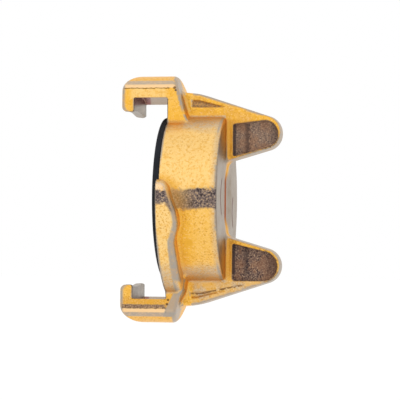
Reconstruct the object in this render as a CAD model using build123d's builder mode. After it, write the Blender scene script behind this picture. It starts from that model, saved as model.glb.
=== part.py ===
from build123d import *
import math
import os

# Blind claw coupling for hoses: a one-piece brass forging with two claws, two ramped
# flange segments, two finger wings and a closed rear wall, and a rubber ring in its mouth.
# The axis is X and the mating side faces -X. The claws and wings lie in the XZ plane.
# The origin is on the axis, in the plane where the crest of the ring meets the mate.

# Coupling standard
lip_distance = 40.0
barrel_play = 0.15

# Barrel
seal_proud = 1.9
body_depth = 13.55
rear_wall = 3.4
rear_edge_radius = 0.75
cavity_radius = 12.4
cavity_corner = 1.5
dish_radius = 8.6
dish_floor_radius = 4.2
dish_depth = 0.6
ridge_height = 0.28
ridge_width = 0.9

# Seat of the ring
mouth_radius = 16.8
mouth_depth = 1.5
groove_radius = 18.0
groove_width = 3.0

# Ring
seal_play = 0.15
seal_edge_radius = 19.72
seal_edge_height = 1.4
seal_edge_round = 0.5
crest_outer_radius = 16.2
crest_inner_radius = 14.6
seal_bore_radius = 13.4
seal_bore_drop = 0.4

# Flange segments, with angles counted about X from -Y towards +Z
flange_radius = 23.85
flange_end_angle = 12.0
flange_end_drop = 3.0
flange_end_span = 5.0
flange_root_angle = -82.0
flange_step = 6.0
flange_edge_round = 1.0
flange_root_round = 0.9
flange_root_sink = 0.1
ramp_start = 2.95
ramp_hump = 4.95
ramp_lock = 4.0
ramp_end = 4.2
ramp_angle = 7.0
hump_angle = -16.5
lock_angle = -29.0
stop_angle = -43.0

# Claws
arm_play = 1.27
arm_thickness = 4.75
claw_reach = 11.1
lip_thickness = 3.1
claw_half_width = 8.2
claw_edge_radius = 2.4
claw_nose_radius = 2.6
lip_crown = 0.55
lip_nose_radius = 0.9
lip_relief = 2.0
lip_relief_depth = 0.35
root_depth_top = 1.5
root_depth_base = 4.4
root_edge_radius = 1.3

# Wings
wing_reach = 13.3
wing_tip_height = 15.7
wing_tip_radius = 4.1
wing_base_height = 8.7
wing_shoulder_depth = 7.2
wing_shoulder_height = 25.0
wing_shoulder_rise = 0.7
wing_half_thickness = 3.8
wing_edge_round = 0.7
wing_draft = 5.0
pocket_depth = 1.7
pocket_rim = 1.0
pocket_draft = 10.0
pocket_gap = 1.9
pocket_low = 10.3
pocket_high = 17.7
sliver_depth = 0.9
sliver_rim = 1.4
sliver_floor = 2.1
sliver_start = 5.4
sliver_length = 8.0
sliver_top_length = 2.8

# Places that follow from the sizes
front = seal_proud
rear = front + body_depth
barrel_radius = lip_distance / 2 - barrel_play
core_radius = (barrel_radius + groove_radius) / 2
arm_radius = flange_radius + arm_play
claw_radius = arm_radius + arm_thickness
claw_front = front - claw_reach
lip_rear = claw_front + lip_thickness
groove_front = front + mouth_depth
seat_floor = groove_front + groove_width
cavity_floor = rear - rear_wall
tip_x = rear + wing_reach - wing_tip_radius
far = 4 * claw_radius


def tangent_point(center, radius, point, side):
    """Where a line from the point touches the circle, on its upper (+1) or lower (-1) side."""
    dx = point[0] - center[0]
    dz = point[1] - center[1]
    turn = math.acos(radius / math.hypot(dx, dz))
    angle = math.atan2(dz, dx) - side * turn
    return (center[0] + radius * math.cos(angle), center[1] + radius * math.sin(angle))


def rear_profile(extra):
    """Half section of the barrel without its hollows, with the rear face moved back by extra."""
    back = rear + extra
    with BuildSketch(Plane.XZ) as profile:
        with BuildLine():
            Polyline(
                (front, 0),
                (front, barrel_radius),
                (back, barrel_radius),
                (back, dish_radius),
                (back - dish_depth, dish_floor_radius),
                (back - dish_depth, 0),
                close=True,
            )
        make_face()
    return profile.sketch


def blend(low, high, share):
    """Smooth step from one level to another."""
    return low + (high - low) * (1 - math.cos(math.pi * share)) / 2


def ramp_depth(angle):
    """Axial thickness of a flange segment: a ramp up to a hump, then the place of the mate's lip."""
    levels = [
        (flange_end_angle, ramp_start),
        (ramp_angle, ramp_start),
        (hump_angle, ramp_hump),
        (lock_angle, ramp_lock),
        (stop_angle, ramp_end),
    ]
    for (angle_a, depth_a), (angle_b, depth_b) in zip(levels, levels[1:]):
        if angle >= angle_b:
            return blend(depth_a, depth_b, (angle_a - angle) / (angle_a - angle_b))
    return ramp_end


def flange_section(angle, outer):
    """Radial section of a flange segment, with its rounded edge and its root fillet."""
    turn = math.radians(angle)
    back = front + ramp_depth(angle)
    edge = flange_edge_round
    root = flange_root_round
    foot = barrel_radius - flange_root_sink
    half = math.sqrt(0.5)
    plane = Plane(origin=(0, 0, 0), x_dir=(1, 0, 0), z_dir=(0, -math.sin(turn), -math.cos(turn)))
    with BuildSketch(plane) as section:
        with BuildLine():
            Polyline(
                (back + root, foot),
                (back + root, cavity_radius),
                (front, cavity_radius),
                (front, outer),
                (back - edge, outer),
            )
            ThreePointArc(
                (back - edge, outer),
                (back - edge + edge * half, outer - edge + edge * half),
                (back, outer - edge),
            )
            Line((back, outer - edge), (back, foot + root))
            ThreePointArc(
                (back, foot + root),
                (back + root - root * half, foot + root - root * half),
                (back + root, foot),
            )
        make_face()
    return section.sketch


def lip_nose_cut():
    """What is cut off under the front edge of the upper lip to round it."""
    round_x = claw_front + lip_nose_radius
    lip_z = lip_distance / 2
    round_z = lip_z + lip_nose_radius
    half = lip_nose_radius * math.sqrt(0.5)
    with BuildSketch(Plane.XZ) as cut:
        with BuildLine():
            Polyline(
                (claw_front, round_z),
                (claw_front - lip_nose_radius, round_z),
                (claw_front - lip_nose_radius, lip_z - lip_nose_radius),
                (round_x, lip_z - lip_nose_radius),
                (round_x, lip_z),
            )
            ThreePointArc((round_x, lip_z), (round_x - half, round_z - half), (claw_front, round_z))
        make_face()
    return cut.sketch


def flank_cuts():
    """What is cut off behind the sloping rear flank of the upper claw, then off its two side edges."""
    slope = (root_depth_base - root_depth_top) / (claw_radius - barrel_radius)
    sag = math.hypot(barrel_radius, claw_half_width) - barrel_radius
    origin = (front + root_depth_top - slope * sag, 0, claw_radius)
    plane = Plane(origin=origin, x_dir=(0, 1, 0), z_dir=(slope, 0, -1))
    edge = root_edge_radius
    mid = edge * (1 - math.sqrt(0.5))
    with BuildSketch(plane) as behind:
        Rectangle(far, far, align=(Align.CENTER, Align.MIN))
    with BuildSketch(plane) as corners:
        for side in (1, -1):
            side_y = side * claw_half_width
            with BuildLine():
                ThreePointArc((side_y, -edge), (side_y - side * mid, -mid), (side_y - side * edge, 0))
                Polyline(
                    (side_y - side * edge, 0),
                    (side_y - side * edge, edge),
                    (side_y + side * edge, edge),
                    (side_y + side * edge, -edge),
                    (side_y, -edge),
                )
            make_face()
    return behind.sketch, corners.sketch


def wing_outline():
    """Tongue-shaped outline of the upper wing in the XZ plane, rooted inside the barrel."""
    center = (tip_x, wing_tip_height)
    shoulder = (front + wing_shoulder_depth, wing_shoulder_height)
    base = (rear, wing_base_height)
    upper = tangent_point(center, wing_tip_radius, shoulder, 1)
    lower = tangent_point(center, wing_tip_radius, base, -1)
    inside = rear - rear_wall / 2
    claw_side = front + root_depth_top
    with BuildSketch(Plane.XZ) as outline:
        with BuildLine():
            Polyline(
                base,
                (inside, wing_base_height),
                (inside, core_radius),
                (claw_side, core_radius),
                (claw_side, wing_shoulder_height + wing_shoulder_rise),
                shoulder,
                upper,
            )
            ThreePointArc(upper, (tip_x + wing_tip_radius, wing_tip_height), lower)
            Line(lower, base)
        make_face()
    return outline.sketch


def pocket_outline():
    """Main hollow in the side of a wing, behind the rear face."""
    center = (tip_x, wing_tip_height)
    radius = wing_tip_radius - pocket_rim
    high = (rear + pocket_gap, pocket_high)
    low = (rear + pocket_gap, pocket_low)
    upper = tangent_point(center, radius, high, 1)
    lower = tangent_point(center, radius, low, -1)
    with BuildSketch(Plane.XZ) as outline:
        with BuildLine():
            Polyline(lower, low, high, upper)
            ThreePointArc(upper, (tip_x + radius, wing_tip_height), lower)
        make_face()
    return outline.sketch


def sliver_outline():
    """Narrow hollow between the barrel and the outer edge of a wing."""
    start = front + sliver_start
    base = barrel_radius + sliver_floor
    high = wing_shoulder_height - sliver_rim
    with BuildSketch(Plane.XZ) as outline:
        with BuildLine():
            Polyline(
                (start, base),
                (start, high),
                (start + sliver_top_length, high),
                (start + sliver_length, base),
                close=True,
            )
        make_face()
    return outline.sketch


with BuildPart() as barrel:
    revolve(rear_profile(0.0), axis=Axis.X)
    rear_edge = barrel.edges().filter_by(GeomType.CIRCLE).filter_by(
        lambda edge: abs(edge.radius - barrel_radius) < 0.01 and edge.center().X > rear - 0.01
    )
    fillet(rear_edge, radius=rear_edge_radius)

with BuildPart() as ridge:
    revolve(rear_profile(ridge_height), axis=Axis.X)
    Box(far, ridge_width, 2 * (barrel_radius - rear_edge_radius), mode=Mode.INTERSECT)

with BuildPart() as wing:
    extrude(wing_outline(), amount=wing_half_thickness, both=True, taper=wing_draft)
    side_edges = wing.edges().filter_by(
        lambda edge: abs(abs(edge.center().Y) - wing_half_thickness) < 0.01
    )
    fillet(side_edges, radius=wing_edge_round)
    for side in (1, -1):
        rim_level = Location((0, -side * wing_half_thickness, 0))
        extrude(pocket_outline().moved(rim_level), amount=-side * pocket_depth,
                taper=pocket_draft, mode=Mode.SUBTRACT)
        extrude(sliver_outline().moved(rim_level), amount=-side * sliver_depth,
                taper=pocket_draft, mode=Mode.SUBTRACT)

with BuildPart() as claw:
    with BuildSketch(Plane.XZ) as claw_section:
        with BuildLine():
            Polyline(
                (claw_front, core_radius),
                (claw_front, claw_radius),
                (front + root_depth_top, claw_radius),
                (front + root_depth_base, barrel_radius),
                (front + root_depth_base, core_radius),
                (front, core_radius),
                (front, arm_radius),
                (lip_rear, arm_radius),
                (lip_rear, core_radius),
                close=True,
            )
        make_face()
        nose = claw_section.vertices().sort_by(lambda v: v.Y - v.X)[-1]
        fillet(nose, radius=claw_nose_radius)
        shoulder = claw_section.vertices().sort_by(lambda v: v.Y + v.X)[-1]
        fillet(shoulder, radius=root_edge_radius)
    revolve(axis=Axis.X)
    with BuildSketch(Plane.XZ) as relief_section:
        with BuildLine():
            Polyline(
                (lip_rear, lip_distance / 2 + lip_relief),
                (lip_rear - lip_relief_depth, lip_distance / 2),
                (lip_rear - lip_relief_depth, core_radius),
                (lip_rear, core_radius),
                close=True,
            )
        make_face()
    revolve(axis=Axis.X, mode=Mode.SUBTRACT)
    with BuildSketch(Plane.YZ.offset(claw_front)) as claw_end:
        Circle(claw_radius)
        Rectangle(2 * claw_half_width, far, align=(Align.CENTER, Align.MIN), mode=Mode.INTERSECT)
        fillet(claw_end.vertices().filter_by(lambda v: v.Y > core_radius), radius=claw_edge_radius)
    extrude(amount=far, mode=Mode.INTERSECT)
    for flank_cut in flank_cuts():
        extrude(flank_cut, amount=far, both=True, mode=Mode.SUBTRACT)
    with BuildSketch(Plane.YZ.offset(claw_front)) as lip_gap:
        with BuildLine():
            end_z = lip_distance / 2 + lip_crown
            ThreePointArc((-claw_half_width, end_z), (0, lip_distance / 2), (claw_half_width, end_z))
            Polyline((claw_half_width, end_z), (claw_half_width, 0), (-claw_half_width, 0),
                     (-claw_half_width, end_z))
        make_face()
    extrude(amount=claw_reach, mode=Mode.SUBTRACT)
    with BuildSketch(Plane.XY) as claw_plan:
        with Locations((claw_front, 0)):
            Rectangle(far, 2 * claw_half_width, align=(Align.MIN, Align.CENTER))
        fillet(claw_plan.vertices().group_by(Axis.X)[0], radius=lip_nose_radius)
    extrude(amount=far, mode=Mode.INTERSECT)
    extrude(lip_nose_cut(), amount=far, both=True, mode=Mode.SUBTRACT)

full_angle = flange_end_angle - flange_end_span
stations = int((full_angle - flange_root_angle) / flange_step)
with BuildPart() as flange:
    sections = [flange_section(flange_end_angle, flange_radius - flange_end_drop)]
    for i in range(stations + 1):
        angle = full_angle + (flange_root_angle - full_angle) * i / stations
        sections.append(flange_section(angle, flange_radius))
    loft(sections)

with BuildPart() as coupling_body:
    add(barrel.part)
    for half_turn in (0, 180):
        add(flange.part.rotate(Axis.X, half_turn))
    add(ridge.part)
    for half_turn in (0, 180):
        add(wing.part.rotate(Axis.X, half_turn))
    for half_turn in (0, 180):
        add(claw.part.rotate(Axis.X, half_turn))
    with BuildSketch(Plane.XZ) as hollow_section:
        with BuildLine():
            Polyline(
                (front, 0),
                (front, mouth_radius),
                (groove_front, mouth_radius),
                (groove_front, groove_radius),
                (seat_floor, groove_radius),
                (seat_floor, cavity_radius),
                (cavity_floor - cavity_corner, cavity_radius),
                (cavity_floor, cavity_radius - cavity_corner),
                (cavity_floor, 0),
                close=True,
            )
        make_face()
    revolve(axis=Axis.X, mode=Mode.SUBTRACT)
coupling_body.part.label = "coupling_body"

with BuildPart() as face_seal:
    with BuildSketch(Plane.XZ) as seal_section:
        with BuildLine():
            edge_x = front - seal_edge_height
            Polyline(
                (0, crest_outer_radius),
                (edge_x, seal_edge_radius),
                (front, seal_edge_radius),
                (front, mouth_radius - seal_play),
                (groove_front + seal_play, mouth_radius - seal_play),
                (groove_front + seal_play, groove_radius - seal_play),
                (seat_floor, groove_radius - seal_play),
                (seat_floor, seal_bore_radius),
                (seal_bore_drop, seal_bore_radius),
                (0, crest_inner_radius),
                close=True,
            )
        make_face()
        outer_edge = seal_section.vertices().sort_by(lambda v: v.Y - v.X)[-1]
        fillet(outer_edge, radius=seal_edge_round)
    revolve(axis=Axis.X)
face_seal.part.label = "face_seal"

os.makedirs("parts", exist_ok=True)
export_step(coupling_body.part, "parts/coupling_body.step")
export_step(face_seal.part, "parts/face_seal.step")
for piece in (coupling_body, face_seal):
    print(piece.part.label, len(piece.part.solids()), piece.part.volume, piece.part.is_valid)
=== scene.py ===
import math

import bmesh
import bpy
import numpy as np
from mathutils import Matrix, Vector


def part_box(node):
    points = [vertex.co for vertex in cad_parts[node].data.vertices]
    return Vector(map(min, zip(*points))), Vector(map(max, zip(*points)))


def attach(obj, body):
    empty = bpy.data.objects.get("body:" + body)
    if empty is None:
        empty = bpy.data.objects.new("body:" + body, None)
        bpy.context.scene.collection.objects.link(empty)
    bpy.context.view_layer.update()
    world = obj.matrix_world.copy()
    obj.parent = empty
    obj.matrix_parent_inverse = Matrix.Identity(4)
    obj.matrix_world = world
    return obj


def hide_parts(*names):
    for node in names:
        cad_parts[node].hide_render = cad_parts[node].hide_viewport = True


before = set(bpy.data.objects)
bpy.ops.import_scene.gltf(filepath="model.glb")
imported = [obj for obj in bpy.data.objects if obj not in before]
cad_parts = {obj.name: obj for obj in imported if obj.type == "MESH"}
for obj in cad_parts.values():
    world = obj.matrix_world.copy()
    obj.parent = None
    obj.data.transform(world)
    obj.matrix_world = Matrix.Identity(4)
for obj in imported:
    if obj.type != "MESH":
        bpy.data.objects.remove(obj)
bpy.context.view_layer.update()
print("frame loaded")

mm = 0.001
scene = bpy.context.scene

# Sizes in millimetres: the driving ones are the CAD model's, the soft forms are the visual's alone
forging = {
    "front": 1.9,              # plane of the metal mouth, behind the ring's crest
    "depth": 13.55,
    "barrelRadius": 19.85,
    "rearEdge": 0.75,
    "frontEdge": 0.25,
    "dishRadius": 8.6,         # shallow dish of the rear wall
    "dishFloor": 4.2,
    "dishDepth": 0.6,
    "seamHeight": 0.28,        # raised seam across the rear wall
    "seamWidth": 0.9,
    "mouthRadius": 16.8,
    "mouthDepth": 1.5,
    "mouthEdge": 0.2,
    "grooveRadius": 18.0,
    "grooveWidth": 3.0,
    "cavityRadius": 12.4,
    "cavityCorner": 1.5,
    "rearWall": 3.4,
    "overlap": 0.1,            # the mouth runs this far into the groove
    "ahead": 0.5,              # and starts this far in front of the metal
    "junction": 1.1,           # fillets in the inner corners
}

flange = {
    "radius": 23.85,
    "endAngle": 9.8,
    "endRound": 2.2,
    "rootAngle": -100.0,
    "edgeRound": 1.5,
    "rootRound": 0.8,
    "ramp": [(12.0, 2.7), (8.0, 2.7), (-16.5, 4.95), (-29.0, 4.0), (-43.0, 4.2), (-100.0, 4.2)],
    "rampLean": 0.95,          # the ramp's face leans, so the way to it is shorter
}

claw = {
    "armRadius": 25.12,
    "outerRadius": 29.8,
    "reach": 11.1,
    "lipThickness": 3.1,
    "lipEnd": 20.5,
    "lipSag": 0.6,
    "lipRelief": 2.0,
    "lipReliefDepth": 0.35,
    "lipEdge": 0.15,
    "lipRounding": (0.5, 2.0),   # behind the claw's front the lip's end is round, then sharp
    "halfWidth": 8.2,
    "crownRadius": 12.4,
    "folds": [(8.2, 26.1), (7.65, 27.05), (6.4, 27.98)],
    "foldRound": 0.12,
    "frontRound": 1.1,
    "noseRound": 4.8,
    "rootTop": 2.05,
    "rootBase": 4.85,
    "rootRound": 1.0,
    "rootSideRound": 0.9,
    "slotRound": 0.3,
}

wing = {
    "reach": 13.3,
    "tipHeight": 15.9,
    "tipRadius": 4.3,
    "baseHeight": 8.7,
    "shoulderDepth": 7.2,
    "shoulderHeight": 25.5,
    "shoulderRise": 0.5,
    "shoulderRound": 0.5,
    "halfThickness": 3.8,
    "edgeRound": 0.7,
    "draft": 5.0,
    "hollowEdge": 0.25,
    "hollowDraft": 10.0,
    "pocketDepth": 1.7,
    "pocketGap": 1.65,
    "pocketCorner": 0.5,
    "pocketFloorRound": 0.6,
    # tip, its radius and the ends at the barrel; the second is taller, where y and z have the same sign
    "pockets": [((9.2, 15.5), 3.3, (10.1, 17.9)), ((8.9, 15.95), 3.55, (10.6, 19.5))],
    "sliverDepths": (0.6, 0.3),
    "sliverRim": 1.9,
    "sliverFloor": 2.1,
    "sliverFloorRound": 0.4,
    "sliverStart": 5.4,
    "sliverLength": 8.0,
    "sliverTop": 1.5,
}

front = forging["front"]
rear = front + forging["depth"]
clawFront = front - claw["reach"]


# Distances are negative inside. Both joins round the edge where two surfaces meet.
def cutBy(a, b, radius):
    corner = np.sqrt(np.maximum(a + radius, 0) ** 2 + np.maximum(b + radius, 0) ** 2)
    return np.minimum(-radius, np.maximum(a, b)) + corner


def joinTo(a, b, radius):
    corner = np.sqrt(np.maximum(radius - a, 0) ** 2 + np.maximum(radius - b, 0) ** 2)
    return np.maximum(radius, np.minimum(a, b)) - corner


def rise(value, start, end):
    # 0 at start and 1 at end, smooth between
    share = np.clip((value - start) / (end - start), 0, 1)
    return share * share * (3 - 2 * share)


def lineSide(x, z, start, end):
    # distance to the left of the way from start to end
    dx, dz = end[0] - start[0], end[1] - start[1]
    length = math.hypot(dx, dz)
    return ((z - start[1]) * dx - (x - start[0]) * dz) / length


def touchPoint(center, radius, point, side):
    # where the straight line from the point touches the circle
    dx, dz = point[0] - center[0], point[1] - center[1]
    turn = math.acos(radius / math.hypot(dx, dz))
    angle = math.atan2(dz, dx) - side * turn
    return center[0] + radius * math.cos(angle), center[1] + radius * math.sin(angle)


def tongue(x, z, center, radius, high, low):
    # outline with straight sides from high and low to a round tip
    upper = touchPoint(center, radius, high, 1)
    lower = touchPoint(center, radius, low, -1)
    sides = np.maximum(lineSide(x, z, high, upper), lineSide(x, z, lower, low))
    around = np.hypot(x - center[0], z - center[1]) - radius
    atTip = (lineSide(x, z, center, upper) < 0) & (lineSide(x, z, center, lower) > 0)
    return np.where(atTip, around, sides)


def rampDepth(angle):
    levels = flange["ramp"]
    depth = np.full_like(angle, levels[0][1])
    for (startAngle, startDepth), (endAngle, endDepth) in zip(levels, levels[1:]):
        share = np.clip((startAngle - angle) / (startAngle - endAngle), 0, 1)
        step = startDepth + (endDepth - startDepth) * (1 - np.cos(math.pi * share)) / 2
        depth = np.where(angle <= startAngle, step, depth)
    return depth


def flangeField(x, y, z, radial):
    # the half on the -Y side; the other half is the same turned by half a turn
    angle = np.degrees(np.arctan2(z, -y))
    perDegree = np.radians(1.0) * radial
    back = (x - front - rampDepth(angle)) * flange["rampLean"]
    edge = cutBy(radial - flange["radius"], back, flange["edgeRound"])
    past = np.maximum(angle - flange["endAngle"], flange["rootAngle"] - angle) * perDegree
    return cutBy(edge, past, flange["endRound"])


def clawField(x, y, z, radial):
    height = np.abs(z)
    aside = np.abs(y)
    slope = (claw["rootBase"] - claw["rootTop"]) / (claw["outerRadius"] - forging["barrelRadius"])
    sag = math.hypot(forging["barrelRadius"], claw["halfWidth"]) - forging["barrelRadius"]
    flank = x - front - claw["rootTop"] - (claw["outerRadius"] - height - sag) * slope
    flank = flank / math.hypot(1, slope)
    crown = np.hypot(aside, height - claw["outerRadius"] + claw["crownRadius"]) - claw["crownRadius"]
    nose = cutBy(height - claw["outerRadius"], clawFront - x, claw["noseRound"])
    shell = np.maximum(cutBy(crown, flank, claw["rootRound"]), nose)
    sides = aside - claw["halfWidth"]
    for start, end in zip(claw["folds"], claw["folds"][1:]):
        sides = cutBy(sides, -lineSide(aside, height, start, end), claw["foldRound"])
    sides = cutBy(sides, clawFront - x, claw["frontRound"])
    sides = cutBy(sides, flank, claw["rootSideRound"])
    block = cutBy(shell, sides, claw["foldRound"])
    # everything that is cut away in front of the mouth
    relief = np.clip((claw["lipEnd"] + claw["lipRelief"] - radial) / claw["lipRelief"], 0, 1)
    lipRear = clawFront + claw["lipThickness"] - claw["lipReliefDepth"] * relief
    slot = np.maximum(radial - claw["armRadius"], lipRear - x)
    hook = cutBy(block, -slot, claw["slotRound"])
    chord = claw["lipEnd"] + claw["lipSag"] * (1 - (y / claw["halfWidth"]) ** 2)
    roundEnd, sharpStart = claw["lipRounding"]
    rounding = claw["frontRound"] * rise(x, clawFront + sharpStart, clawFront + roundEnd)
    hook = cutBy(hook, chord - height, rounding + claw["lipEdge"])
    return block, np.maximum(hook, x - front)


def wingPlate(x, y, z):
    height = np.abs(z)
    aside = np.abs(y)
    center = (rear + wing["reach"] - wing["tipRadius"], wing["tipHeight"])
    shoulder = (front + wing["shoulderDepth"], wing["shoulderHeight"])
    outline = tongue(x, height, center, wing["tipRadius"], shoulder, (rear, wing["baseHeight"]))
    clawSide = (front + claw["rootTop"], wing["shoulderHeight"] + wing["shoulderRise"])
    outline = cutBy(outline, lineSide(x, height, clawSide, shoulder), wing["shoulderRound"])
    outline = np.maximum(outline, front + claw["rootTop"] - x)
    outline = outline + aside * math.tan(math.radians(wing["draft"]))
    return cutBy(outline, aside - wing["halfThickness"], wing["edgeRound"])


def hollowsOfWing(x, y, z):
    height = np.abs(z)
    into = wing["halfThickness"] - np.abs(y)
    lean = into * math.tan(math.radians(wing["hollowDraft"]))
    gap = rear + wing["pocketGap"]
    outlines = [tongue(x, height, (rear + tip[0], tip[1]), radius, (gap, high), (gap, low))
                for tip, radius, (low, high) in wing["pockets"]]
    pocket = cutBy(np.where(y * z < 0, *outlines), gap - x, wing["pocketCorner"]) + lean
    pocket = cutBy(pocket, into - wing["pocketDepth"], wing["pocketFloorRound"])
    # the shallow recess beside the claw
    start = front + wing["sliverStart"]
    floor = forging["barrelRadius"] + wing["sliverFloor"]
    roof = wing["shoulderHeight"] - wing["sliverRim"]
    sliver = np.maximum(np.maximum(start - x, floor - height), height - roof)
    slant = lineSide(x, height, (start + wing["sliverTop"], roof), (start + wing["sliverLength"], floor))
    depth = np.where(y * z < 0, *wing["sliverDepths"])
    sliver = cutBy(np.maximum(sliver, slant) + lean, into - depth, wing["sliverFloorRound"])
    return np.minimum(pocket, sliver)


def forgingField(p):
    x, y, z = p
    radial = np.hypot(y, z)
    dish = forging["dishDepth"] * rise(radial, forging["dishRadius"], forging["dishFloor"])
    seam = forging["seamHeight"] * np.exp(-(2 * y / forging["seamWidth"]) ** 2)
    barrel = cutBy(radial - forging["barrelRadius"], x - rear + dish - seam, forging["rearEdge"])
    rim = np.minimum(flangeField(x, y, z, radial), flangeField(x, -y, -z, radial))
    body = joinTo(barrel, rim, flange["rootRound"])
    wings = cutBy(wingPlate(x, y, z), -hollowsOfWing(x, y, z), wing["hollowEdge"])
    body = joinTo(body, wings, forging["junction"])
    block, hooks = clawField(x, y, z, radial)
    body = joinTo(body, block, forging["junction"])
    body = np.minimum(cutBy(body, front - x, forging["frontEdge"]), hooks)
    grooveFront = front + forging["mouthDepth"]
    grooveHalf = forging["grooveWidth"] / 2
    mouth = np.maximum(radial - forging["mouthRadius"], x - grooveFront - forging["overlap"])
    groove = np.maximum(radial - forging["grooveRadius"], np.abs(x - grooveFront - grooveHalf) - grooveHalf)
    cavity = cutBy(radial - forging["cavityRadius"], x - rear + forging["rearWall"], forging["cavityCorner"])
    hollow = np.minimum(np.minimum(mouth, groove), cavity)
    return cutBy(body, -np.maximum(hollow, front - forging["ahead"] - x), forging["mouthEdge"])


meshing = {
    "step": 0.36,              # of the grid, in millimetres
    "slopeStep": 0.02,
    "leastSlope": 0.05,
    "rounds": 3,               # times that the points are spread evenly
    "pull": 0.5,
    "tiny": 1e-9,
}


def sliced(axis, first, last):
    # the whole grid but for the first or last layer along one axis
    window = [slice(None)] * 3
    window[axis] = slice(first, last)
    return tuple(window)


def cellPoints(value, cells):
    # sums the places where the surface crosses each cell's edges
    inside = value < 0
    weight = np.zeros(cells)
    place = np.zeros(cells + (3,))
    for axis in range(3):
        lower, upper = sliced(axis, 0, -1), sliced(axis, 1, None)
        a, b = value[lower], value[upper]
        crossed = inside[lower] != inside[upper]
        share = np.where(crossed, a / np.where(crossed, a - b, 1), 0)
        first, second = [i for i in range(3) if i != axis]
        for j, k in ((0, 0), (0, 1), (1, 0), (1, 1)):
            window = [slice(None)] * 3
            window[first] = slice(j, cells[first] + j)
            window[second] = slice(k, cells[second] + k)
            hit = crossed[tuple(window)]
            weight += hit
            place[..., axis] += np.where(hit, share[tuple(window)], 0)
            place[..., first] += np.where(hit, j, 0)
            place[..., second] += np.where(hit, k, 0)
    return place, weight


def cellFaces(inside, index):
    # one face between the four cells round each grid edge that the surface crosses
    faces = []
    for axis in range(3):
        j, k = (axis + 1) % 3, (axis + 2) % 3
        a, b = inside[sliced(axis, 0, -1)], inside[sliced(axis, 1, None)]
        edges = np.stack(np.nonzero(a != b), 1)
        keep = (edges[:, j] > 0) & (edges[:, k] > 0)
        keep &= (edges[:, j] < index.shape[j]) & (edges[:, k] < index.shape[k])
        edges = edges[keep]
        leaving = a[tuple(edges.T)]
        corners = []
        for dj, dk in ((-1, -1), (0, -1), (0, 0), (-1, 0)):
            cell = edges.copy()
            cell[:, j] += dj
            cell[:, k] += dk
            corners.append(index[tuple(cell.T)])
        face = np.stack(corners, 1)
        face[~leaving] = face[~leaving][:, ::-1]
        faces.append(face)
    return np.concatenate(faces)


def slopeAt(field, points):
    step = meshing["slopeStep"]
    slope = np.empty_like(points)
    for axis in range(3):
        shift = np.zeros(3)
        shift[axis] = step
        slope[:, axis] = (field((points + shift).T) - field((points - shift).T)) / (2 * step)
    return slope


def normalAt(field, points):
    slope = slopeAt(field, points)
    return slope / np.maximum(np.linalg.norm(slope, axis=1), meshing["tiny"])[:, None]


def settle(field, points):
    # moves each point onto the surface, by one grid step at most
    slope = slopeAt(field, points)
    steep = np.maximum((slope ** 2).sum(1), meshing["leastSlope"])
    move = slope * (field(points.T) / steep)[:, None]
    length = np.linalg.norm(move, axis=1)[:, None]
    return points - move * np.minimum(1, meshing["step"] / np.maximum(length, meshing["tiny"]))


def spread(field, points, faces):
    # slides the points along the surface towards the middle of their neighbours
    ends = np.concatenate([faces[:, [i, (i + 1) % 4]] for i in range(4)]).T
    for _ in range(meshing["rounds"]):
        total = np.zeros_like(points)
        count = np.zeros(len(points))
        for near, far in (ends, ends[::-1]):
            np.add.at(total, near, points[far])
            np.add.at(count, near, 1)
        drift = total / count[:, None] - points
        normal = normalAt(field, points)
        drift -= normal * (drift * normal).sum(1)[:, None]
        points = settle(field, points + meshing["pull"] * drift)
    return points


def addObject(name, data):
    made = bpy.data.objects.new(name, data)
    scene.collection.objects.link(made)
    return made


def surfaceMesh(name, field, masks, low, high):
    # one point in each grid cell that the surface crosses, then moved onto the surface itself
    step = meshing["step"]
    counts = [int(math.ceil((end - start) / step)) + 1 for start, end in zip(low, high)]
    axes = [start + step * np.arange(count) for start, count in zip(low, counts)]
    value = field(np.meshgrid(*axes, indexing="ij"))
    place, weight = cellPoints(value, tuple(count - 1 for count in counts))
    active = weight > 0
    index = np.full(weight.shape, -1, dtype=np.int64)
    index[active] = np.arange(active.sum())
    corner = np.stack(np.nonzero(active), 1)
    points = (corner + place[active] / weight[active][:, None]) * step + np.array(low)
    faces = cellFaces(value < 0, index)
    points = spread(field, settle(field, points), faces)
    points = settle(field, points)
    normal = normalAt(field, points)

    mesh = bpy.data.meshes.new(name)
    mesh.vertices.add(len(points))
    mesh.vertices.foreach_set("co", (points * mm).ravel())
    mesh.loops.add(faces.size)
    mesh.loops.foreach_set("vertex_index", faces.ravel())
    mesh.polygons.add(len(faces))
    mesh.polygons.foreach_set("loop_start", np.arange(0, faces.size, 4))
    mesh.polygons.foreach_set("use_smooth", np.ones(len(faces), dtype=bool))
    mesh.update(calc_edges=True)
    mesh.validate()
    mesh.normals_split_custom_set_from_vertices(normal)
    for maskName, values in masks(points, normal).items():
        layer = mesh.attributes.new(maskName, "FLOAT", "POINT")
        layer.data.foreach_set("value", values.astype(np.float32))
    print(name, len(points), "points", len(faces), "faces")
    return addObject(name, mesh)


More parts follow.
